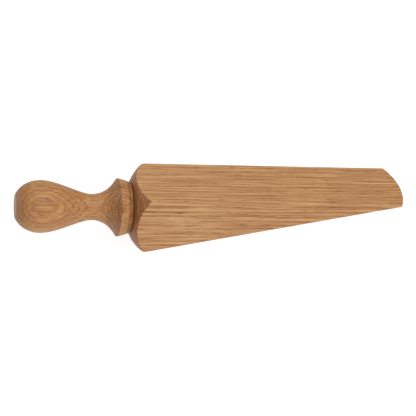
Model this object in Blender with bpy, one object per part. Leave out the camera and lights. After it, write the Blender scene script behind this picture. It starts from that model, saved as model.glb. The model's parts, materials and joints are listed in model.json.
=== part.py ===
"""Oak door wedge: a tapered block and a turned handle, joined end to end by a hidden fluted dowel.

Frame: metres, +Z up. The wedge rests on its sloping sole at Z = 0, with its tip towards +X and its
handle rising towards -X. The origin is the middle of the bounding box's underside.

Everything is modelled in the lathe's own frame first: x runs along the turning axis from the handle's
end (0) to the tip, and z is square to the flat face. The empty lathe_axis tilts that frame by the
wedge's taper, which lays the sole level.
"""

import math

import bmesh
import bpy

MM = 0.001

# The block: prepared oak, square in section
SQUARE = 45.0 * MM
HALF = SQUARE / 2
LENGTH = 280.0 * MM
ARRIS = 0.7 * MM  # sanded edge along each corner of the block
WEDGE_START = 90.1 * MM  # where the shoulder ends and the taper begins
TIP_RADIUS = 50.0 * MM  # the tip's curve in plan
TIP_THICKNESS = 2.0 * MM  # at the tip's two corners

# The turned shoulder, from the block's round front face out to its square corners
SHOULDER_FRONT = 79.6 * MM
SHOULDER_FOOT_R = 16.7 * MM
SHOULDER_RISE_DEG = 67.4  # slope where it leaves the front face
SHOULDER_RUN_OUT_DEG = 34.2  # slope where it reaches the corners
SHOULDER_FOOT_PULL = 6.1 * MM
SHOULDER_END_PULL = 5.6 * MM

# The turned handle
END_FLAT_R = 8.4 * MM
KNOB_X = 17.4 * MM
KNOB_R = 18.3 * MM
KNOB_FULLNESS = 2.1  # exponent of the knob's front curve: 2 is an ellipse, and more is blunter
KNOB_PULL = 12.0 * MM  # how far the knob's crown runs before it falls
NECK_X = 53.0 * MM
NECK_R = 9.2 * MM
NECK_FRONT_PULL = 8.2 * MM
NECK_BACK_PULL = 12.4 * MM
COLLAR_X = 71.0 * MM
COLLAR_R = 20.6 * MM
COLLAR_PULL = 0.8 * MM
COLLAR_FLARE_DEG = 20.0
COLLAR_BACK_X = 79.3 * MM
COLLAR_BACK_R = 18.1 * MM
COLLAR_SWELL = 0.2 * MM  # how far the collar's back band stands out from a straight cone

# The joint: a fluted dowel glued into a blind hole in each piece
DOWEL_R = 5.0 * MM
DOWEL_LENGTH = 40.0 * MM
DOWEL_CHAMFER = 1.5 * MM
FLUTES = 20
FLUTE_DEPTH = 0.4 * MM
GLUE_GAP = 0.3 * MM  # round the dowel, at its ends and between the two pieces
BORE_R = DOWEL_R + GLUE_GAP
JOINT_X = (COLLAR_BACK_X + SHOULDER_FRONT) / 2
BORE_HALF = DOWEL_LENGTH / 2 + GLUE_GAP

CLEARANCE = 5.0 * MM  # how far a cutting shape runs past what it cuts
TURNING_STEPS = 56
CURVE_STEPS = 12
TIP_STEPS = 14
CORNER_R = HALF * math.sqrt(2)
TIP_SAGITTA = TIP_RADIUS - math.sqrt(TIP_RADIUS**2 - HALF**2)
TIP_CORNER_X = LENGTH - TIP_SAGITTA
TAPER = math.atan((SQUARE - TIP_THICKNESS) / (TIP_CORNER_X - WEDGE_START))

OAK = (0.52, 0.29, 0.13)
OAK_HANDLE = (0.46, 0.25, 0.11)
BEECH = (0.62, 0.42, 0.26)


def clear_scene():
    """Removes every object that the scene opened with."""
    for obj in list(bpy.data.objects):
        bpy.data.objects.remove(obj, do_unlink=True)


def wood(name, colour, roughness):
    """A plain Principled wood material."""
    material = bpy.data.materials.new(name)
    material.use_nodes = True
    shader = material.node_tree.nodes["Principled BSDF"]
    shader.inputs["Base Color"].default_value = (*colour, 1.0)
    shader.inputs["Roughness"].default_value = roughness
    shader.inputs["Metallic"].default_value = 0.0
    return material


def bezier(start, start_pull, end_pull, end, steps=CURVE_STEPS):
    """Points of a cubic curve between two (x, r) points, leaving out the first one."""
    points = []
    for i in range(1, steps + 1):
        t = i / steps
        weights = ((1 - t) ** 3, 3 * (1 - t) ** 2 * t, 3 * (1 - t) * t**2, t**3)
        corners = (start, start_pull, end_pull, end)
        points.append(tuple(sum(w * c[k] for w, c in zip(weights, corners)) for k in (0, 1)))
    return points


def along(point, degrees, distance):
    """The (x, r) point that lies a distance away in a direction measured from the turning axis."""
    angle = math.radians(degrees)
    return point[0] + distance * math.cos(angle), point[1] + distance * math.sin(angle)


def knob_front():
    """The knob from its flat end to its widest point: a quarter superellipse that the flat cuts short."""
    power = 2 / KNOB_FULLNESS
    start = math.asin((END_FLAT_R / KNOB_R) ** (1 / power))
    reach = KNOB_X / math.cos(start) ** power
    points = []
    for i in range(CURVE_STEPS + 1):
        angle = start + (math.pi / 2 - start) * i / CURVE_STEPS
        across = max(math.cos(angle), 0.0) ** power
        points.append((KNOB_X - reach * across, KNOB_R * math.sin(angle) ** power))
    return points


def handle_surface():
    """The handle's outer outline as (x, r) points, from its flat end to the back of its collar."""
    knob, neck = (KNOB_X, KNOB_R), (NECK_X, NECK_R)
    collar, back = (COLLAR_X, COLLAR_R), (COLLAR_BACK_X, COLLAR_BACK_R)
    fall = bezier(knob, along(knob, 0, KNOB_PULL), along(neck, 180, NECK_FRONT_PULL), neck)
    cove_end = along(collar, 180 + COLLAR_FLARE_DEG, COLLAR_PULL)
    cove = bezier(neck, along(neck, 0, NECK_BACK_PULL), cove_end, collar)
    middle = ((COLLAR_X + COLLAR_BACK_X) / 2, (COLLAR_R + COLLAR_BACK_R) / 2 + COLLAR_SWELL)
    return knob_front() + fall + cove + [middle, back]


def shoulder_surface():
    """The block's turned outline as (x, r) points, from its front face to just past its square corners."""
    foot, corner = (SHOULDER_FRONT, SHOULDER_FOOT_R), (WEDGE_START, CORNER_R)
    rise = along(foot, SHOULDER_RISE_DEG, SHOULDER_FOOT_PULL)
    run_out = along(corner, 180 + SHOULDER_RUN_OUT_DEG, SHOULDER_END_PULL)
    past = along(corner, SHOULDER_RUN_OUT_DEG, CLEARANCE)
    return [foot] + bezier(foot, rise, run_out, corner) + [past]


def add_object(name, mesh, material, parent):
    """Adds a mesh to the scene as a named object on the lathe's frame."""
    obj = bpy.data.objects.new(name, mesh)
    bpy.context.scene.collection.objects.link(obj)
    obj.parent = parent
    if material:
        mesh.materials.append(material)
    else:
        obj.hide_render = True
        obj.display_type = "WIRE"
    return obj


def turned(name, outline, material, parent, steps=TURNING_STEPS):
    """A solid spun about the lathe's axis from (x, r) points that start and end on that axis."""
    bm = bmesh.new()
    verts = [bm.verts.new((x, 0.0, r)) for x, r in outline]
    edges = [bm.edges.new(pair) for pair in zip(verts, verts[1:])]
    bmesh.ops.spin(bm, geom=verts + edges, axis=(1, 0, 0), angle=math.tau, steps=steps, use_merge=True)
    bmesh.ops.remove_doubles(bm, verts=bm.verts, dist=0.001 * MM)
    bmesh.ops.recalc_face_normals(bm, faces=bm.faces)
    mesh = bpy.data.meshes.new(name)
    bm.to_mesh(mesh)
    bm.free()
    mesh.shade_smooth()
    mesh.set_sharp_from_angle(angle=math.radians(30))
    return add_object(name, mesh, material, parent)


def turned_handle(material, parent):
    """The handle, with the blind hole for the dowel in the back of its collar."""
    bottom = JOINT_X - BORE_HALF
    hole = [(COLLAR_BACK_X, BORE_R), (bottom, BORE_R), (bottom, 0.0)]
    return turned("turned_handle", [(0.0, 0.0)] + handle_surface() + hole, material, parent)


def sole_height(x):
    """The underside's z at a place along the block: level under the shoulder, then rising to the tip."""
    return -HALF + max(0.0, x - WEDGE_START) * math.tan(TAPER)


def tapered_prism():
    """The sawn block before turning: square behind, wedge-shaped ahead, and rounded in plan at its tip."""
    back = SHOULDER_FRONT - CLEARANCE
    half_angle = math.asin(HALF / TIP_RADIUS)
    tip = []
    for i in range(TIP_STEPS + 1):
        angle = half_angle * (2 * i / TIP_STEPS - 1)
        tip.append((LENGTH - TIP_RADIUS * (1 - math.cos(angle)), TIP_RADIUS * math.sin(angle)))
    plan = [(back, HALF), (back, -HALF), (WEDGE_START, -HALF)] + tip + [(WEDGE_START, HALF)]
    bm = bmesh.new()
    weight = bm.edges.layers.float.new("bevel_weight_edge")
    top = [bm.verts.new((x, y, HALF)) for x, y in plan]
    under = [bm.verts.new((x, y, sole_height(x))) for x, y in plan]
    bm.faces.new(top)
    sole_start = len(plan) - 1
    bm.faces.new([under[2], under[1], under[0], under[sole_start]])
    bm.faces.new([under[sole_start]] + under[sole_start - 1 : 1 : -1])
    for i in range(len(plan)):
        j = (i + 1) % len(plan)
        bm.faces.new([top[j], top[i], under[i], under[j]])
    bmesh.ops.recalc_face_normals(bm, faces=bm.faces)
    for edge in bm.edges:
        a, b = edge.verts
        runs_along = abs(a.co.y - b.co.y) < ARRIS / 100 and abs(a.co.x - b.co.x) > ARRIS
        edge[weight] = 1.0 if runs_along else 0.0
    mesh = bpy.data.meshes.new("wedge_block")
    bm.to_mesh(mesh)
    bm.free()
    return mesh


def wedge_block(material, parent):
    """The block: a tapered prism with eased corners, turned to a round shoulder and bored for the dowel."""
    block = add_object("wedge_block", tapered_prism(), material, parent)
    eased = block.modifiers.new("eased_corners", "BEVEL")
    eased.limit_method = "WEIGHT"
    eased.width = ARRIS
    eased.segments = 2
    surface = shoulder_surface()
    beyond = LENGTH + CLEARANCE
    outline = [(SHOULDER_FRONT, 0.0)] + surface + [(beyond, surface[-1][1]), (beyond, 0.0)]
    envelope = turned("turned_envelope", outline, None, parent)
    turning = block.modifiers.new("turning", "BOOLEAN")
    turning.operation = "INTERSECT"
    turning.object = envelope
    mouth, bottom = SHOULDER_FRONT - CLEARANCE, JOINT_X + BORE_HALF
    drill = [(mouth, 0.0), (mouth, BORE_R), (bottom, BORE_R), (bottom, 0.0)]
    cutter = turned("bore_cutter", drill, None, parent)
    boring = block.modifiers.new("boring", "BOOLEAN")
    boring.operation = "DIFFERENCE"
    boring.object = cutter
    return block


def joint_dowel(material, parent):
    """The fluted dowel: a grooved rod with both ends chamfered, half in the handle and half in the block."""
    start, end = JOINT_X - DOWEL_LENGTH / 2, JOINT_X + DOWEL_LENGTH / 2
    rings = (
        (start, 1 - DOWEL_CHAMFER / DOWEL_R),
        (start + DOWEL_CHAMFER, 1.0),
        (end - DOWEL_CHAMFER, 1.0),
        (end, 1 - DOWEL_CHAMFER / DOWEL_R),
    )
    count = 4 * FLUTES
    bm = bmesh.new()
    loops = []
    for x, scale in rings:
        loop = []
        for i in range(count):
            angle = math.tau * i / count
            radius = (DOWEL_R - (FLUTE_DEPTH if i % 4 == 0 else 0.0)) * scale
            loop.append(bm.verts.new((x, radius * math.cos(angle), radius * math.sin(angle))))
        loops.append(loop)
    for first, second in zip(loops, loops[1:]):
        for i in range(count):
            j = (i + 1) % count
            bm.faces.new([first[i], first[j], second[j], second[i]])
    bm.faces.new(loops[0])
    bm.faces.new(loops[-1])
    bmesh.ops.recalc_face_normals(bm, faces=bm.faces)
    mesh = bpy.data.meshes.new("joint_dowel")
    bm.to_mesh(mesh)
    bm.free()
    return add_object("joint_dowel", mesh, material, parent)


def lathe_frame():
    """The empty that lays the sole level at Z = 0 and centres the bounding box on the origin."""
    lean, rise = math.sin(TAPER), math.cos(TAPER)
    low = min(x * rise - r * lean for x, r in handle_surface())
    high = LENGTH * rise + HALF * lean
    frame = bpy.data.objects.new("lathe_axis", None)
    bpy.context.scene.collection.objects.link(frame)
    frame.rotation_euler = (0.0, TAPER, 0.0)
    frame.location = (-(low + high) / 2, 0.0, WEDGE_START * lean + HALF * rise)
    return frame


def main():
    clear_scene()
    frame = lathe_frame()
    wedge_block(wood("oiled_oak", OAK, 0.55), frame)
    turned_handle(wood("oiled_oak_turned", OAK_HANDLE, 0.5), frame)
    joint_dowel(wood("beech", BEECH, 0.7), frame)


main()
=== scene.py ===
"""The looks of an oak door wedge: a tapered block with a turned knob handle, doweled end to end.

Shapes are worked out in millimetres in the lathe's own frame: x runs along the turning axis from the
handle's end (0) to the thin tip, z is square to the flat face, and y is across. LatheAxis carries
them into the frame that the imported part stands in, where the sloping sole lies level on the floor.
"""

import json
import logging
import math
from dataclasses import dataclass, field
from enum import Enum
from typing import Any

import bpy
import numpy as np
from mathutils import Matrix, Vector

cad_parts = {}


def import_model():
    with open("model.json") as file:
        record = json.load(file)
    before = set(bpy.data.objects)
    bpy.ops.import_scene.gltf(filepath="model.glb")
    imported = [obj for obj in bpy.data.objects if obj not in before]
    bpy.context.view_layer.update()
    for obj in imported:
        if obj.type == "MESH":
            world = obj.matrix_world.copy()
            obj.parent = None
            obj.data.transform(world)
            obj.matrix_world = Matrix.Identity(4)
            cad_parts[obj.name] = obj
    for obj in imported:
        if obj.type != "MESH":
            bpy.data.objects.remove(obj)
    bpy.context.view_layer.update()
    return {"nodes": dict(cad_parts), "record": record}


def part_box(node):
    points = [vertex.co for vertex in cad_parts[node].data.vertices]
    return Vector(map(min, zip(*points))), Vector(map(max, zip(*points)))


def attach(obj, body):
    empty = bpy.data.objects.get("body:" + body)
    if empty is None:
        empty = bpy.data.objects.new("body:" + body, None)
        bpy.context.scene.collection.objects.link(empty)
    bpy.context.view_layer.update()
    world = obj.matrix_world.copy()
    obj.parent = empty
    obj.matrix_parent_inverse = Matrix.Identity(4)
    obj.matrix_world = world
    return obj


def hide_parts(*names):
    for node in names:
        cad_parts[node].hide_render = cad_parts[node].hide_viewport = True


LOG = logging.getLogger("door_wedge")
MM = 0.001
WHITE = (1.0, 1.0, 1.0, 1.0)
POLE_R = 0.8  # the last ring before a pole on the axis, in millimetres
SEED_STEPS = (1.0, 1.7, 2.3)  # how many cells a seed of 1 moves a pattern along and across the grain

Tree = bpy.types.NodeTree
Socket = bpy.types.NodeSocket


class Arris(Enum):
    """One of the block's four long corners, as its direction across the block (y, z)."""

    NEAR_UPPER = (-1.0, 1.0)
    FAR_UPPER = (1.0, 1.0)
    NEAR_LOWER = (-1.0, -1.0)
    FAR_LOWER = (1.0, -1.0)


class Mix(Enum):
    """How one colour is laid over another."""

    BLEND = "MIX"
    DARKEN = "MULTIPLY"


def linear(hex_colour: str) -> tuple[float, float, float, float]:
    """Turns an sRGB hex colour into linear light.

    Args:
        hex_colour: Six hex digits, with or without a leading hash.

    Returns:
        Red, green, blue and an alpha of 1.
    """
    digits = hex_colour.lstrip("#")
    srgb = np.array([int(digits[i : i + 2], 16) for i in (0, 2, 4)]) / 255
    light = np.where(srgb <= 0.04045, srgb / 12.92, ((srgb + 0.055) / 1.055) ** 2.4)
    return (*map(float, light), 1.0)


def add_node(tree: Tree, kind: str, links: dict | None = None, **settings: Any) -> bpy.types.Node:
    """Adds one shader node, with its settings and what goes into it.

    Args:
        tree: The node tree it joins.
        kind: The node's type, without the leading ShaderNode.
        links: Input name or number to a value or to another node's output socket.
        **settings: The node's own properties.

    Returns:
        The new node.
    """
    node = tree.nodes.new("ShaderNode" + kind)
    for name, value in settings.items():
        setattr(node, name, value)
    for key, value in (links or {}).items():
        if isinstance(value, Socket):
            tree.links.new(value, node.inputs[key])
        else:
            node.inputs[key].default_value = value
    return node


@dataclass(frozen=True)
class LatheAxis:
    """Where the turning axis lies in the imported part's frame.

    Attributes:
        tilt: The wedge's taper in radians, by which the axis leans down towards the tip.
        start: The axis's point at the handle's end, in metres.
    """

    tilt: float
    start: Vector

    @classmethod
    def from_frame(cls, record: dict, length: float, half: float) -> "LatheAxis":
        """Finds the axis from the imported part: its flat face's normal and the block's far corner.

        Args:
            record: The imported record, whose door_face mount gives the flat face's normal.
            length: The wedge's length along the axis, in millimetres.
            half: Half of the block's square section, in millimetres.

        Returns:
            The axis.
        """
        normal = next(m["axis"] for m in record["mounts"] if m["name"] == "door_face")
        tilt = math.atan2(normal[0], normal[2])
        low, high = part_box("wedge_block")
        far = high[0] - (length * math.cos(tilt) + half * math.sin(tilt)) * MM
        return cls(tilt, Vector((far, 0.0, cls.height(tilt, low[2], length, half))))

    @staticmethod
    def height(tilt: float, sole: float, length: float, half: float) -> float:
        """Works out the axis's height at the handle's end from where the taper starts."""
        start = length - WedgeBlock.tip_sagitta() - (2 * half - WedgeBlock.tip_thickness) / math.tan(tilt)
        return sole + (start * math.sin(tilt) + half * math.cos(tilt)) * MM

    def matrix(self) -> Matrix:
        """The move from millimetres on the lathe's axis to metres in the part's frame."""
        turn = Matrix.Rotation(self.tilt, 4, "Y")
        return Matrix.Translation(self.start) @ turn @ Matrix.Scale(MM, 4)

    def along(self) -> tuple[float, float, float]:
        """The axis's direction in the part's frame."""
        return math.cos(self.tilt), 0.0, -math.sin(self.tilt)

    def place(self, points: np.ndarray) -> np.ndarray:
        """Carries an array of points (..., 3) from the lathe's frame into the part's frame."""
        matrix = np.array(self.matrix())
        return points @ matrix[:3, :3].T + matrix[:3, 3]


def bezier(start: tuple, start_pull: tuple, end_pull: tuple, end: tuple, steps: int) -> np.ndarray:
    """Samples a cubic curve: each corner weighted by its Bernstein polynomial.

    Args:
        start: First (x, r) point.
        start_pull: Where the curve heads as it leaves the first point.
        end_pull: Where it comes from as it reaches the last point.
        end: Last (x, r) point.
        steps: Number of stretches.

    Returns:
        An array (steps + 1, 2) of points, both ends included.
    """
    t = np.linspace(0.0, 1.0, steps + 1)[:, None]
    corners = (start, start_pull, end_pull, end)
    weights = ((1 - t) ** 3, 3 * (1 - t) ** 2 * t, 3 * (1 - t) * t**2, t**3)
    return sum(w * np.asarray(c, float) for w, c in zip(weights, corners))


def away(point: tuple, degrees: float, distance: float) -> tuple[float, float]:
    """The (x, r) point a distance away in a direction measured from the turning axis."""
    angle = math.radians(degrees)
    return point[0] + distance * math.cos(angle), point[1] + distance * math.sin(angle)


def joined(*stretches: np.ndarray, ease: float, steps: int = 5) -> np.ndarray:
    """Joins stretches of an outline and eases each corner between them.

    The corner is cut back by the easing distance on both sides, and a parabola through the cut
    points, with the old corner as its pull, takes its place.

    Args:
        *stretches: Arrays of (x, r) points, each starting where the last one ends.
        ease: How far the corner is cut back, in millimetres.
        steps: Number of stretches in each eased corner.

    Returns:
        One array of (x, r) points.
    """
    parts = [stretches[0]]
    for ahead in stretches[1:]:
        behind = parts.pop()
        corner = ahead[0]
        behind = behind[np.hypot(*(behind - corner).T) > ease]
        ahead_kept = ahead[np.hypot(*(ahead - corner).T) > ease]
        back = corner + ease * (behind[-1] - corner) / np.hypot(*(behind[-1] - corner))
        front = corner + ease * (ahead_kept[0] - corner) / np.hypot(*(ahead_kept[0] - corner))
        t = np.linspace(0.0, 1.0, steps + 1)[:, None]
        parts += [behind, (1 - t) ** 2 * back + 2 * t * (1 - t) * corner + t**2 * front, ahead_kept]
    return np.vstack(parts)


def straight(start: tuple, end: tuple, steps: int = 6) -> np.ndarray:
    """Evenly spaced points on a straight line, both ends included."""
    return np.linspace(np.asarray(start, float), np.asarray(end, float), steps + 1)


def rings_to_mesh(
    name: str, rings: np.ndarray, poles: tuple[np.ndarray | None, np.ndarray | None]
) -> bpy.types.Mesh:
    """Makes a closed mesh from rings of points, each ring joined to the next by a band of quads.

    Point k of ring i joins point k of ring i + 1. A pole closes an end with a fan of triangles, and
    an end with no pole is closed by a strip of quads between the points k and -k of its ring.

    Args:
        name: The mesh's name.
        rings: Array (rings, points, 3), in metres.
        poles: The first and the last end's closing point, or None.

    Returns:
        The mesh, smooth shaded.
    """
    count, around = rings.shape[:2]
    index = np.arange(count * around).reshape(count, around)
    ahead = np.roll(index, -1, axis=1)
    quads = np.stack([index[:-1], ahead[:-1], ahead[1:], index[1:]], axis=-1).reshape(-1, 4)
    faces = quads.tolist()
    verts = [rings.reshape(-1, 3)]
    total = count * around
    for end, pole in zip((0, -1), poles):
        if pole is not None:
            verts.append(pole[None, :])
            fan = np.stack([ahead[end], index[end], np.full(around, total)], axis=-1)
            faces += (fan if end == 0 else fan[:, ::-1]).tolist()
            total += 1
        else:
            half = np.arange(around // 2)
            ring = index[end]
            strip = np.stack([ring[half], ring[half + 1], ring[-half - 1], ring[-half % around]], axis=-1)
            faces += [list(dict.fromkeys(f)) for f in (strip if end == -1 else strip[:, ::-1]).tolist()]
    mesh = bpy.data.meshes.new(name)
    mesh.from_pydata(np.vstack(verts).tolist(), [], faces)
    mesh.validate()
    mesh.shade_smooth()
    return mesh


def outward(mesh: bpy.types.Mesh) -> None:
    """Turns every face the other way if the mesh's volume comes out negative.

    The volume's sign is that of the sum, over all triangles, of a corner's dot product with the
    cross product of the other two.

    Args:
        mesh: A closed mesh.
    """
    mesh.calc_loop_triangles()
    corners = np.empty(len(mesh.vertices) * 3)
    mesh.vertices.foreach_get("co", corners)
    tris = np.empty(len(mesh.loop_triangles) * 3, int)
    mesh.loop_triangles.foreach_get("vertices", tris)
    a, b, c = np.moveaxis(corners.reshape(-1, 3)[tris.reshape(-1, 3)], 1, 0)
    if np.einsum("ij,ij->", a, np.cross(b, c)) < 0:
        mesh.flip_normals()


@dataclass(frozen=True)
class OiledOak:
    """Rift-sawn European oak, sanded and finished with satin hard-wax oil.

    The eye gets fine straight streaks on the long faces, where the growth rings come out at a slant,
    ovals where a turned surface cuts through them, dashes of open pores, and darker end grain,
    because cut fibre ends drink more of the finish. That end-grain darkening also carries painted
    shade on the turned faces that look along the axis, and a band by the joint is darkened with
    painted shade where the crease lies in shadow.
    """

    name: str
    tint: str = "#ffffff"  # multiplies the whole colour: a turned surface drinks more oil
    light: str = "#d9a970"
    shade: str = "#a66a34"
    dark: str = "#763c10"
    end_grain_and_shade: str = "#cdb5a2"  # cut fibre ends multiply the colour by this: partly the real darker end grain, partly painted shade on turned faces that look along the axis, away from the light
    ring_mm: float = 2.75  # growth in one year
    pith_mm: float = 96.3  # how far the tree's middle lies from the turning axis
    pith_arris: Arris = Arris.NEAR_UPPER  # the tree's middle lies out beyond this arris
    lean: float = 7.0  # degrees that it lies past the arris's diagonal, towards the block's side
    pore_length_mm: float = 9.0
    pore_width_mm: float = 0.55  # real pores are 0.3 mm wide, too fine to show
    streak_length_mm: float = 48.0
    streak_width_mm: float = 1.25
    ring_share: float = 0.34  # how strongly the early wood shows on side grain
    end_ring_share: float = 0.6  # and how much more it shows where the rings are cut across
    pore_share: float = 0.66
    roughness: float = 0.62
    pore_roughness: float = 0.82
    pore_depth_mm: float = 0.08
    early_depth: float = 0.35  # how far early wood lies below late wood, in pore depths
    relief_strength: float = 0.35
    ior: float = 1.5
    coat: float = 0.14
    coat_roughness: float = 0.25
    ring_unevenness: float = 1.5  # how far a ring's width strays, in years
    ring_beat: float = 0.37  # and how often, against the years
    # Each pair is a part of the year and how far the wood grown then is early wood.
    season: tuple[tuple[float, float], ...] = ((0.08, 1.0), (0.22, 0.6), (0.38, 0.1), (0.9, 0.0))
    season_edge: float = 0.5  # early wood's share where one year ends and the next starts
    # Each drift of the fibres has a length along the grain, a width across it and a reach, in mm.
    wander: tuple[tuple[float, float, float], ...] = ((150.0, 40.0, 3.0), (30.0, 4.0, 0.3))
    pore_spread: tuple[float, float] = (0.6, 0.5)  # noise above which pores open, in late and early wood
    pore_softness: float = 0.1
    streak_spread: tuple[float, float] = (0.32, 0.68)  # noise that is fully dark and fully light fibre
    end_start: float = 0.2  # the normal's share along the grain at which wood starts to look cut across
    end_full: float = 0.9  # and at which it looks fully cut across
    shade_band: tuple[float, float] | None = None  # where painted shade darkens a band along the axis, by the crease at the joint, and its reach, in mm
    # the painted shade's colour, multiplied over the wood in that band
    crease_shade_colour: str = "#e4dad2"
    seed: float = 0.0

    def material(self, axis: LatheAxis) -> bpy.types.Material:
        """Builds the oak as a solid texture, so that every cut through it shows the right grain.

        Args:
            axis: The turning axis, which the grain runs along.

        Returns:
            The material.
        """
        material = bpy.data.materials.new(self.name)
        material.use_nodes = True
        tree = material.node_tree
        shader = tree.nodes["Principled BSDF"]
        coords = add_node(tree, "TexCoord")
        grain = self.grain_coordinates(tree, coords.outputs["Object"], axis)
        early = self.growth_rings(tree, grain)
        pores = self.pores(tree, grain, early)
        streaks = self.streaks(tree, grain)
        ends = self.end_grain_share(tree, coords.outputs["Normal"], axis)
        colour = self.colour(tree, early, pores, streaks, ends)
        # painted shade: a darker band by the crease at the joint
        if self.shade_band:
            colour = self.painted_crease_shade(tree, grain, colour)
        tree.links.new(colour, shader.inputs["Base Color"])
        sheen = {"Value": pores, "To Min": self.roughness, "To Max": self.pore_roughness}
        rough = add_node(tree, "MapRange", sheen)
        tree.links.new(rough.outputs["Result"], shader.inputs["Roughness"])
        tree.links.new(self.relief(tree, early, pores), shader.inputs["Normal"])
        shader.inputs["IOR"].default_value = self.ior
        shader.inputs["Coat Weight"].default_value = self.coat
        shader.inputs["Coat Roughness"].default_value = self.coat_roughness
        return material

    def relief(self, tree: Tree, early: Socket, pores: Socket) -> Socket:
        """Sinks the pores, and the early wood by less.

        Args:
            tree: The material's nodes.
            early: How far the wood is early wood.
            pores: Where the pores are.

        Returns:
            A socket with the surface's normal.
        """
        depth = add_node(tree, "Math", {0: early, 1: self.early_depth, 2: pores}, operation="MULTIPLY_ADD")
        size = {
            "Height": depth.outputs[0],
            "Strength": self.relief_strength,
            "Distance": self.pore_depth_mm * MM,
        }
        return add_node(tree, "Bump", size, invert=True).outputs["Normal"]

    def grain_coordinates(self, tree: Tree, place: Socket, axis: LatheAxis) -> Socket:
        """Gives millimetres along and across the grain, with the slow wander of real fibres.

        Args:
            tree: The material's nodes.
            place: Object coordinates.
            axis: The turning axis.

        Returns:
            A vector socket: x along the grain, y and z across it.
        """
        turn = {"Location": axis.start, "Rotation": (0.0, axis.tilt, 0.0), "Scale": (MM, MM, MM)}
        mapping = add_node(tree, "Mapping", {"Vector": place, **turn}, vector_type="TEXTURE")
        point = mapping.outputs["Vector"]
        middle = (0.5, 0.5, 0.5)  # the noise's mean
        for length, width, reach in self.wander:
            slow = self.stretched(tree, point, length, width)
            noise = add_node(tree, "TexNoise", {"Vector": slow, "Scale": 1.0, "Detail": 1.0})
            swing = {0: noise.outputs["Color"], 1: middle}
            centred = add_node(tree, "VectorMath", swing, operation="SUBTRACT")
            shift = {0: centred.outputs[0], 1: (0.0, reach, reach), 2: point}
            point = add_node(tree, "VectorMath", shift, operation="MULTIPLY_ADD").outputs[0]
        return point

    def stretched(self, tree: Tree, point: Socket, length: float, width: float) -> Socket:
        """Scales the grain's coordinates so that one unit is a cell of a given length and width.

        Args:
            tree: The material's nodes.
            point: Millimetres along and across the grain.
            length: The cell's length along the grain, in millimetres.
            width: Its width across the grain, in millimetres.

        Returns:
            A vector socket in cells.
        """
        scale = (1 / length, 1 / width, 1 / width)
        offset = tuple(self.seed * step for step in SEED_STEPS)
        cell = add_node(tree, "VectorMath", {0: point, 1: scale, 2: offset}, operation="MULTIPLY_ADD")
        return cell.outputs[0]

    def growth_rings(self, tree: Tree, grain: Socket) -> Socket:
        """Draws the rings: the distance from the pith in years, whose fraction is the season.

        Args:
            tree: The material's nodes.
            grain: Millimetres along and across the grain.

        Returns:
            A socket from 0 in smooth late wood to 1 in the porous early wood.
        """
        side, up = self.pith_arris.value
        angle = math.atan2(up, side) + math.radians(self.lean)
        across = add_node(tree, "VectorMath", {0: grain, 1: (0.0, 1.0, 1.0)}, operation="MULTIPLY")
        pith = (0.0, self.pith_mm * math.cos(angle), self.pith_mm * math.sin(angle))
        radius = add_node(tree, "VectorMath", {0: across.outputs[0], 1: pith}, operation="DISTANCE")
        years = add_node(tree, "Math", {0: radius.outputs["Value"], 1: self.ring_mm}, operation="DIVIDE")
        beat = {"W": years.outputs[0], "Scale": self.ring_beat, "Detail": 2.0}
        uneven = add_node(tree, "TexNoise", beat, noise_dimensions="1D")
        stray = {0: uneven.outputs[0], 1: self.ring_unevenness, 2: years.outputs[0]}
        shifted = add_node(tree, "Math", stray, operation="MULTIPLY_ADD")
        season = add_node(tree, "Math", {0: shifted.outputs[0]}, operation="FRACT")
        ramp = add_node(tree, "ValToRGB", {"Fac": season.outputs[0]})
        stops = ramp.color_ramp
        stops.interpolation = "B_SPLINE"
        for spot, value in self.season:
            stop = stops.elements.new(spot)
            stop.color = (value, value, value, 1.0)
        for end in (0, -1):
            stops.elements[end].color = (self.season_edge, self.season_edge, self.season_edge, 1.0)
        return ramp.outputs["Color"]

    def pores(self, tree: Tree, grain: Socket, early: Socket) -> Socket:
        """Draws the open pores as long thin dashes, crowded in the early wood.

        Args:
            tree: The material's nodes.
            grain: Millimetres along and across the grain.
            early: How far the wood is early wood.

        Returns:
            A socket from 0 on plain wood to 1 in a pore.
        """
        cell = self.stretched(tree, grain, self.pore_length_mm, self.pore_width_mm)
        noise = add_node(tree, "TexNoise", {"Vector": cell, "Scale": 1.0, "Detail": 2.0, "Roughness": 0.6})
        late_level, early_level = self.pore_spread
        crowd = add_node(tree, "MapRange", {"Value": early, "To Min": late_level, "To Max": early_level})
        level = {0: noise.outputs[0], 1: crowd.outputs["Result"]}
        cut = add_node(tree, "Math", level, operation="SUBTRACT")
        edge = {"Value": cut.outputs[0], "From Max": self.pore_softness}
        dash = add_node(tree, "MapRange", edge, interpolation_type="SMOOTHSTEP")
        return dash.outputs["Result"]

    def streaks(self, tree: Tree, grain: Socket) -> Socket:
        """Draws long soft streaks of lighter and darker fibre.

        Args:
            tree: The material's nodes.
            grain: Millimetres along and across the grain.

        Returns:
            A socket from 0, dark, to 1, light.
        """
        cell = self.stretched(tree, grain, self.streak_length_mm, self.streak_width_mm)
        noise = add_node(tree, "TexNoise", {"Vector": cell, "Scale": 1.0, "Detail": 3.0, "Roughness": 0.55})
        low, high = self.streak_spread
        spread = add_node(tree, "MapRange", {"Value": noise.outputs[0], "From Min": low, "From Max": high})
        return spread.outputs["Result"]

    def end_grain_share(self, tree: Tree, normal: Socket, axis: LatheAxis) -> Socket:
        """Finds how far a surface cuts across the fibres: the normal's share along the grain.

        Args:
            tree: The material's nodes.
            normal: The surface's normal in the object's coordinates.
            axis: The turning axis.

        Returns:
            A socket from 0 on side grain to 1 on end grain.
        """
        share = add_node(tree, "VectorMath", {0: normal, 1: axis.along()}, operation="DOT_PRODUCT")
        size = add_node(tree, "Math", {0: share.outputs["Value"]}, operation="ABSOLUTE")
        reach = {"Value": size.outputs[0], "From Min": self.end_start, "From Max": self.end_full}
        soft = add_node(tree, "MapRange", reach, interpolation_type="SMOOTHSTEP")
        return soft.outputs["Result"]

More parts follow.
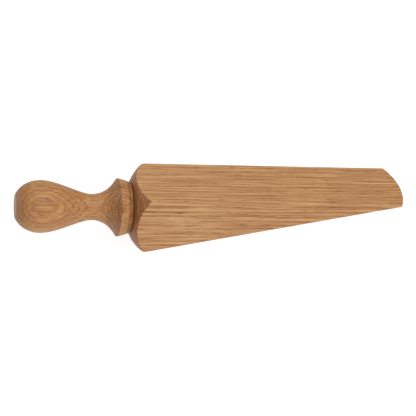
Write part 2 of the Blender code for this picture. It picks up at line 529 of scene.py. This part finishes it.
    def painted_crease_shade(self, tree: Tree, grain: Socket, colour: Socket) -> Socket:
        """Darkens a band of the wood across the axis with painted shade, for the crease at the joint and
        the back of the collar's band, which lie in shadow.

        The painted shade is full at the band's place and fades evenly to nothing at its reach on either
        side.

        Args:
            tree: The material's nodes.
            grain: Millimetres along and across the grain.
            colour: The wood's colour.

        Returns:
            A colour socket.
        """
        place, reach = self.shade_band
        along = add_node(tree, "SeparateXYZ", {"Vector": grain})
        offset = add_node(tree, "Math", {0: along.outputs["X"], 1: place}, operation="SUBTRACT")
        gap = add_node(tree, "Math", {0: offset.outputs[0]}, operation="ABSOLUTE")
        fade = {"Value": gap.outputs[0], "From Max": reach, "To Min": 1.0, "To Max": 0.0}
        share = add_node(tree, "MapRange", fade, interpolation_type="SMOOTHSTEP")
        return self.laid_over(tree, colour, linear(self.crease_shade_colour), share.outputs["Result"], Mix.DARKEN)

    @staticmethod
    def laid_over(tree: Tree, under: Any, over: tuple, share: Socket, mode: Mix) -> Socket:
        """Lays one colour over another by a share, and gives the colour that comes out."""
        layers = {0: share, 6: under, 7: over}
        return add_node(tree, "Mix", layers, data_type="RGBA", blend_type=mode.value).outputs[2]

    def colour(self, tree: Tree, early: Socket, pores: Socket, streaks: Socket, ends: Socket) -> Socket:
        """Lays the wood's colours over each other.

        Args:
            tree: The material's nodes.
            early: How far the wood is early wood.
            pores: Where the pores are.
            streaks: Light and dark fibre.
            ends: How far the surface is end grain.

        Returns:
            A colour socket.
        """
        cut_rings = add_node(tree, "Math", {0: early, 1: ends}, operation="MULTIPLY")
        steps = (
            (streaks, self.light, 1.0, Mix.BLEND),
            (early, self.dark, self.ring_share, Mix.BLEND),
            (pores, self.dark, self.pore_share, Mix.BLEND),
            # end faces darkened: the real darker end grain, and partly painted shade
            (ends, self.end_grain_and_shade, 1.0, Mix.DARKEN),
            (cut_rings.outputs[0], self.dark, self.end_ring_share, Mix.BLEND),
        )
        colour: Any = linear(self.shade)
        for mask, tint, strength, mode in steps:
            share = add_node(tree, "Math", {0: mask, 1: strength}, operation="MULTIPLY")
            colour = self.laid_over(tree, colour, linear(tint), share.outputs[0], mode)
        tinted = add_node(tree, "VectorMath", {0: colour, 1: linear(self.tint)[:3]}, operation="MULTIPLY")
        return tinted.outputs[0]


@dataclass(frozen=True)
class BareBeech:
    """Steamed beech, machined and left bare: pale pinkish brown with short fine flecks."""

    name: str = "bare_beech"
    light: str = "#d9b18a"
    fleck: str = "#a9784f"
    fleck_length_mm: float = 1.8
    fleck_width_mm: float = 0.25
    fleck_spread: tuple[float, float] = (0.5, 0.7)  # noise where flecks start and where they are full
    roughness: float = 0.75

    def material(self, axis: LatheAxis) -> bpy.types.Material:
        """Builds the beech: a noise stretched along the dowel marks the flecks.

        Args:
            axis: The turning axis, which the dowel lies on.

        Returns:
            The material.
        """
        material = bpy.data.materials.new(self.name)
        material.use_nodes = True
        tree = material.node_tree
        shader = tree.nodes["Principled BSDF"]
        place = add_node(tree, "TexCoord").outputs["Object"]
        size = (self.fleck_length_mm * MM, self.fleck_width_mm * MM, self.fleck_width_mm * MM)
        turn = {"Rotation": (0.0, axis.tilt, 0.0), "Scale": size}
        cell = add_node(tree, "Mapping", {"Vector": place, **turn}, vector_type="TEXTURE")
        noise = add_node(tree, "TexNoise", {"Vector": cell.outputs[0], "Scale": 1.0, "Detail": 2.0})
        low, high = self.fleck_spread
        mask = add_node(tree, "MapRange", {"Value": noise.outputs[0], "From Min": low, "From Max": high})
        layers = {0: mask.outputs[0], 6: linear(self.light), 7: linear(self.fleck)}
        tint = add_node(tree, "Mix", layers, data_type="RGBA")
        tree.links.new(tint.outputs[2], shader.inputs["Base Color"])
        shader.inputs["Roughness"].default_value = self.roughness
        return material


@dataclass
class TurnedHandle:
    """The turned handle: knob, neck, cove and collar, with a blind hole for the dowel behind.

    Sizes are in millimetres: x lies along the turning axis from the handle's end, and r is a radius.
    A pull is how far a curve's control point lies from the curve's end.
    """

    end_flat_r: float = 8.4
    knob_x: float = 17.4
    knob_r: float = 18.3
    knob_fullness: float = 2.1  # power of the superellipse: 2 is an ellipse, more is squarer
    knob_pull: float = 12.0
    neck_x: float = 53.0
    neck_r: float = 9.2
    neck_front_pull: float = 8.2
    neck_back_pull: float = 12.4
    collar_x: float = 71.0
    collar_r: float = 20.6
    collar_pull: float = 0.8
    collar_flare: float = 20.0  # degrees at which the cove meets the collar's rim
    back_x: float = 79.3
    back_r: float = 18.1
    swell: float = 0.25  # how far the collar's band bulges
    ease: float = 0.08  # sanded rounding of every corner
    rim: float = 0.3  # width of the small bevel round the collar's back edge
    bore_r: float = 5.3  # the dowel's 5 mm and the glue line
    bore_x: float = 59.15  # the hole's bottom
    around: int = 224
    knob_steps: int = 44
    fall_steps: int = 60
    cove_steps: int = 50
    band_steps: int = 16
    back_steps: int = 8
    bore_steps: int = 12

    def knob_front(self) -> np.ndarray:
        """The knob's front: a quarter superellipse, whose flat end cuts it short.

        Returns:
            Array of (x, r) points from the flat end's rim to the knob's widest point.
        """
        power = 2 / self.knob_fullness
        first = math.asin((self.end_flat_r / self.knob_r) ** (1 / power))
        reach = self.knob_x / math.cos(first) ** power
        angle = np.linspace(first, math.pi / 2, self.knob_steps)
        across = np.maximum(np.cos(angle), 0.0) ** power
        return np.stack([self.knob_x - reach * across, self.knob_r * np.sin(angle) ** power], axis=1)

    def slope(self) -> float:
        """How fast the collar's band narrows towards its back."""
        return (self.collar_r - self.back_r) / (self.back_x - self.collar_x)

    def outline(self) -> np.ndarray:
        """The whole outline, from the middle of the flat end round to the bottom of the bore.

        Returns:
            Array of (x, r) points that leaves out both points on the axis.
        """
        knob, neck = (self.knob_x, self.knob_r), (self.neck_x, self.neck_r)
        collar = (self.collar_x, self.collar_r)
        fall_end = away(neck, 180, self.neck_front_pull)
        fall = bezier(knob, away(knob, 0, self.knob_pull), fall_end, neck, self.fall_steps)
        cove_end = away(collar, 180 + self.collar_flare, self.collar_pull)
        cove = bezier(neck, away(neck, 0, self.neck_back_pull), cove_end, collar, self.cove_steps)
        middle = ((self.collar_x + self.back_x) / 2, (self.collar_r + self.back_r) / 2 + self.swell)
        edge = (self.back_x - self.rim, self.back_r + self.rim * self.slope())
        band = bezier(collar, middle, middle, edge, self.band_steps)
        rim = straight(edge, (self.back_x, edge[1] - self.rim))
        turned = np.vstack([self.knob_front(), fall[1:], cove[1:]])
        mouth, bottom = (self.back_x, self.bore_r), (self.bore_x, self.bore_r)
        return joined(
            straight((0.0, POLE_R), (0.0, self.end_flat_r)),
            turned,
            band,
            rim,
            straight(tuple(rim[-1]), mouth, self.back_steps),
            straight(mouth, bottom, self.bore_steps),
            straight(bottom, (self.bore_x, POLE_R)),
            ease=self.ease,
        )

    def build(self, axis: LatheAxis, finish: OiledOak) -> bpy.types.Object:
        """Spins the outline about the axis: each point becomes a ring of its radius at its x.

        Args:
            axis: The turning axis.
            finish: The wood.

        Returns:
            The handle.
        """
        outline = self.outline()
        angle = np.linspace(0.0, math.tau, self.around, endpoint=False)
        x = np.broadcast_to(outline[:, :1], (len(outline), self.around))
        rings = np.stack([x, outline[:, 1:] * np.cos(angle), outline[:, 1:] * np.sin(angle)], axis=-1)
        poles = np.array([[outline[0, 0], 0.0, 0.0], [outline[-1, 0], 0.0, 0.0]])
        mesh = rings_to_mesh("oak_handle", axis.place(rings), tuple(axis.place(poles)))
        return add_piece(mesh, finish.material(axis), "turned_handle")


@dataclass
class WedgeBlock:
    """The block: square stock turned to a round shoulder behind and sawn to a thin rounded tip ahead.

    Sizes are in millimetres, as the handle's are.
    """

    half: float = 22.5  # of the square stock
    length: float = 280.0  # from the handle's end to the tip, along the turning axis
    tip_radius: float = 50.0  # of the tip's curve in plan
    tip_thickness: float = 2.0  # at the tip's two corners
    front_x: float = 79.6  # a glue line past the collar's back
    foot_r: float = 16.7
    corner_x: float = 90.1  # where the turned shoulder meets the arrises and the taper starts
    rise: float = 67.4  # degrees at which the shoulder leaves its foot
    run_out: float = 34.2  # degrees at which it meets the arrises
    foot_pull: float = 6.1
    end_pull: float = 5.6
    sharpness: float = 150.0  # power of the section's squareness: higher leaves a finer rounding
    crease: float = 0.9  # how softly the turned shoulder meets the flat faces
    overrun: float = 3.0  # how far the shoulder's outline runs on past the arrises
    nose: float = 0.3  # sanded rounding at the tip's edge
    nose_sweep: float = 75.0  # degrees that the rounding turns before the edge folds shut
    ease: float = 0.3  # rounding of the corners round the bore
    bore_r: float = 5.3
    bore_x: float = 99.75
    around: int = 352
    crowding: float = 1.7  # how strongly the section's points crowd towards the arrises
    shoulder_steps: int = 84
    body_steps: int = 59
    nose_steps: int = 5
    front_steps: int = 8
    bore_steps: int = 12

    @classmethod
    def tip_sagitta(cls) -> float:
        """How far the tip's curve bulges past its two corners."""
        return cls.tip_radius - math.sqrt(cls.tip_radius**2 - cls.half**2)

    def taper(self) -> float:
        """The slope of the sole against the flat face."""
        return (2 * self.half - self.tip_thickness) / (self.length - self.tip_sagitta() - self.corner_x)

    def directions(self) -> tuple[np.ndarray, np.ndarray]:
        """The angles round the section, which crowd towards the four arrises.

        Each quarter's even steps, from -1 to 1 about its arris, are raised to a power and keep their
        sign. The arrises lie at one, three, five and seven eighths of a turn.

        Returns:
            Cosine and sine of each angle, from the middle of one side right round.
        """
        quarter = np.linspace(-1.0, 1.0, self.around // 4, endpoint=False)
        bent = np.sign(quarter) * np.abs(quarter) ** self.crowding
        angle = (math.pi / 4) * (bent[None, :] + np.array([1, 3, 5, 7])[:, None]).ravel()
        return np.cos(angle), np.sin(angle)

    def shoulder(self) -> np.ndarray:
        """The turned shoulder's outline, from its foot to a little past the square corners.

        Returns:
            Array of (x, r) points.
        """
        foot, corner = (self.front_x, self.foot_r), (self.corner_x, self.half * math.sqrt(2))
        rise = away(foot, self.rise, self.foot_pull)
        run_out = away(corner, 180 + self.run_out, self.end_pull)
        curve = bezier(foot, rise, run_out, corner, self.shoulder_steps)
        return np.vstack([curve, away(corner, self.run_out, self.overrun)])

    def span(self, cos: np.ndarray, sin: np.ndarray) -> np.ndarray:
        """What a unit square's superellipse divides each direction's cosine and sine by."""
        power = self.sharpness
        return (np.abs(cos) ** power + np.abs(sin) ** power) ** (1 / power)

    def section(
        self, x: np.ndarray, limit: np.ndarray, cos: np.ndarray, sin: np.ndarray, flat: np.ndarray
    ) -> np.ndarray:
        """Points round the block's section at each station.

        The section is a superellipse of high power between the flat face and the sole, and the
        turned surface's radius cuts it short by a smooth minimum of the two radii.

        Args:
            x: Each point's place along the axis (stations, around).
            limit: The turned surface's radius at each station (stations, 1).
            cos: Cosine of each point's angle.
            sin: Sine of each point's angle.
            flat: How much of the section's thickness is left at each station (stations, 1).

        Returns:
            Array (stations, around, 3) in the lathe's frame.
        """
        span = self.span(cos, sin)
        sole = -self.half + np.maximum(0.0, x - self.corner_x) * self.taper()
        middle, deep = (self.half + sole) / 2, (self.half - sole) / 2
        y = np.broadcast_to(self.half * cos / span, x.shape)
        z = middle + deep * flat * sin / span
        radius = np.hypot(y, z)
        gap = np.maximum(self.crease - np.abs(radius - limit), 0.0) / self.crease
        kept = np.minimum(radius, limit) - gap**2 * self.crease / 4
        return np.stack([x, y * kept / radius, z * kept / radius], axis=-1)

    def rings(self) -> np.ndarray:
        """All of the block's rings: bore, front face, shoulder, taper and nose, in that order.

        Ahead of the shoulder the stations bend into the tip's curve, an arc in plan: each point is
        drawn back by the arc's sagitta at its y, times the square of how far along it lies, so that
        the last station lies on the arc.

        Returns:
            Array (rings, around, 3) in the lathe's frame.
        """
        cos, sin = self.directions()
        bottom, mouth = (self.bore_x, self.bore_r), (self.front_x, self.bore_r)
        inner = joined(
            straight((self.bore_x, POLE_R), bottom),
            straight(bottom, mouth, self.bore_steps),
            straight(mouth, (self.front_x, self.foot_r), self.front_steps),
            ease=self.ease,
        )[:-1]
        inner_x = np.broadcast_to(inner[:, :1], (len(inner), self.around))
        round_rings = np.stack([inner_x, inner[:, 1:] * cos, inner[:, 1:] * sin], axis=-1)
        turned = self.shoulder()
        start = turned[-1, 0]
        turn = np.linspace(0.0, math.radians(self.nose_sweep), self.nose_steps + 1)[1:]
        body = np.linspace(start, self.length - self.nose, self.body_steps + 1)[1:]
        nose = self.length - self.nose * (1 - np.sin(turn))
        stations = np.concatenate([turned[:, 0], body, nose])[:, None]
        uncut = np.full(len(body) + len(nose), 3 * self.half)  # a radius beyond every corner
        limit = np.concatenate([turned[:, 1], uncut])[:, None]
        flat = np.concatenate([np.ones(len(turned) + len(body)), np.cos(turn)])[:, None]
        across = self.half * cos / self.span(cos, sin)
        sagitta = self.tip_radius - np.sqrt(self.tip_radius**2 - across**2)
        bend = np.clip((stations - start) / (self.length - start), 0.0, 1.0) ** 2
        outer = self.section(stations - bend * sagitta, limit, cos, sin, flat)
        return np.concatenate([round_rings, outer])

    def build(self, axis: LatheAxis, finish: OiledOak) -> bpy.types.Object:
        """Makes the block from its rings, closed at the bore's bottom and along the tip's edge.

        Args:
            axis: The turning axis.
            finish: The wood.

        Returns:
            The block.
        """
        pole = axis.place(np.array([self.bore_x, 0.0, 0.0]))
        middle = self.around // 8  # the last ring folds shut from the middle of one side
        rings = np.roll(axis.place(self.rings()), -middle, axis=1)
        mesh = rings_to_mesh("oak_block", rings, (pole, None))
        return add_piece(mesh, finish.material(axis), "wedge_block")


def add_piece(mesh: bpy.types.Mesh, material: bpy.types.Material, node: str) -> bpy.types.Object:
    """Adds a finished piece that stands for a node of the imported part.

    Args:
        mesh: The piece's mesh, in the part's frame.
        material: Its finish.
        node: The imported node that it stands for.

    Returns:
        The new object.
    """
    outward(mesh)
    mesh.materials.append(material)
    piece = bpy.data.objects.new(mesh.name, mesh)
    bpy.context.scene.collection.objects.link(piece)
    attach(piece, "root")
    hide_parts(node)
    LOG.info("%s: %d faces, stands for %s", piece.name, len(mesh.polygons), node)
    return piece


@dataclass
class JointDowel:
    """The fluted dowel hidden in the joint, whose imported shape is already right."""

    node: str = "joint_dowel"

    def dress(self, nodes: dict[str, bpy.types.Object], axis: LatheAxis, finish: BareBeech) -> None:
        """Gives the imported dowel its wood.

        Args:
            nodes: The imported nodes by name.
            axis: The turning axis.
            finish: The wood.
        """
        material = finish.material(axis)
        for slot in nodes[self.node].material_slots:
            slot.material = material
        LOG.info("%s: dressed in %s", self.node, material.name)


@dataclass(frozen=True)
class SoftLight:
    """One large square lamp that points at the wedge.

    Attributes:
        name: The lamp's name.
        place: Where it stands, in metres.
        size: Its side, in metres.
        power: Its power, in watts.
    """

    name: str
    place: tuple[float, float, float]
    size: float
    power: float


@dataclass
class Studio:
    """A plain pale floor under soft light, with the camera looking down along the wedge's near side."""

    floor_side: float = 8.0
    floor_colour: str = "#949494"
    floor_glow: float = 0.85  # lifts the floor to the white of a lit sweep of paper
    floor_roughness: float = 0.9
    sky: float = 0.3  # the room's light on the wedge; the camera itself sees plain white
    lights: tuple[SoftLight, ...] = field(
        default_factory=lambda: (
            SoftLight("key", (0.35, -0.6, 1.37), 1.4, 18.1),
            SoftLight("rim", (-1.05, 0.45, 0.4), 0.7, 3.4),
            SoftLight("back", (0.2, 1.1, 1.1), 0.8, 2.4),
        )
    )
    lens: float = 103.85
    sensor: float = 36.0
    near_clip: float = 0.01
    azimuth: float = 9.338
    elevation: float = 39.205
    roll: float = -3.862
    aim: tuple[float, float, float] = (-0.00399, 0.0, 0.01147)
    distance: float = 0.8602

    def build_floor(self) -> None:
        """Lays the floor at the height of the sole."""
        mesh = bpy.data.meshes.new("floor")
        side = self.floor_side / 2
        corners = [(-side, -side, 0.0), (side, -side, 0.0), (side, side, 0.0), (-side, side, 0.0)]
        mesh.from_pydata(corners, [], [(0, 1, 2, 3)])
        material = bpy.data.materials.new("pale_floor")
        material.use_nodes = True
        shader = material.node_tree.nodes["Principled BSDF"]
        shader.inputs["Base Color"].default_value = linear(self.floor_colour)
        shader.inputs["Roughness"].default_value = self.floor_roughness
        shader.inputs["Emission Color"].default_value = WHITE
        shader.inputs["Emission Strength"].default_value = self.floor_glow
        mesh.materials.append(material)
        floor = bpy.data.objects.new("floor", mesh)
        bpy.context.scene.collection.objects.link(floor)

    def build_lights(self) -> None:
        """Hangs the lamps and sets the even light of a white room."""
        world = bpy.data.worlds.new("white_room")
        world.use_nodes = True
        background = world.node_tree.nodes["Background"]
        background.inputs["Color"].default_value = WHITE
        path = add_node(world.node_tree, "LightPath")
        strength = {"Value": path.outputs["Is Camera Ray"], "To Min": self.sky}
        seen = add_node(world.node_tree, "MapRange", strength)
        world.node_tree.links.new(seen.outputs["Result"], background.inputs["Strength"])
        bpy.context.scene.world = world
        for light in self.lights:
            lamp = bpy.data.lights.new(light.name, "AREA")
            lamp.size = light.size
            lamp.energy = light.power
            holder = bpy.data.objects.new(light.name, lamp)
            holder.location = light.place
            holder.rotation_euler = (-Vector(light.place)).to_track_quat("-Z", "Y").to_euler()
            bpy.context.scene.collection.objects.link(holder)

    def build_camera(self) -> None:
        """Stands the camera on a sphere round its aim, and rolls it about its line of sight."""
        turn, rise = math.radians(self.azimuth), math.radians(self.elevation)
        sight = Vector((math.sin(turn) * math.cos(rise), math.cos(turn) * math.cos(rise), -math.sin(rise)))
        camera = bpy.data.cameras.new("camera")
        camera.lens = self.lens
        camera.sensor_width = self.sensor
        camera.clip_start = self.near_clip
        holder = bpy.data.objects.new("camera", camera)
        place = Matrix.Translation(Vector(self.aim) - sight * self.distance)
        upright = sight.to_track_quat("-Z", "Y").to_matrix().to_4x4()
        holder.matrix_world = place @ upright @ Matrix.Rotation(math.radians(self.roll), 4, "Z")
        bpy.context.scene.collection.objects.link(holder)
        bpy.context.scene.camera = holder

    def build(self) -> None:
        """Builds the floor, the lights and the camera."""
        self.build_floor()
        self.build_lights()
        self.build_camera()
        bpy.context.scene.view_settings.view_transform = "Standard"
        LOG.info("studio: %d lamps", len(self.lights))


def main() -> None:
    """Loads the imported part, builds its looks piece by piece, and sets the studio round it."""
    logging.basicConfig(level=logging.INFO, format="%(name)s %(message)s")
    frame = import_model()
    block, handle = WedgeBlock(), TurnedHandle()
    axis = LatheAxis.from_frame(frame["record"], block.length, block.half)
    LOG.info("turning axis: %.2f degrees down", math.degrees(axis.tilt))
    # the block's band of painted shade lies at its front face, where the collar shades the shoulder's foot
    straight_oak = OiledOak("satin_oiled_oak", shade_band=(block.front_x, 3.2), end_full=0.72, seed=13.0)
    turned_oak = OiledOak(
        "satin_oiled_oak_turned",
        tint="#f4eee3",
        light="#d3a26a",
        shade="#ae743e",
        end_grain_and_shade="#d4c8b7",
        ring_mm=2.3,
        pith_mm=95.0,
        streak_length_mm=24.0,
        ring_share=0.32,
        pore_share=0.62,
        # the handle's band of painted shade lies on the back of the collar's band, which turns away from
        # the light
        shade_band=(handle.back_x - 1.9, 2.0),
        crease_shade_colour="#cbbda6",
        seed=15.6,
    )
    block.build(axis, straight_oak)
    handle.build(axis, turned_oak)
    JointDowel().dress(frame["nodes"], axis, BareBeech())
    Studio().build()


if __name__ == "__main__":
    main()
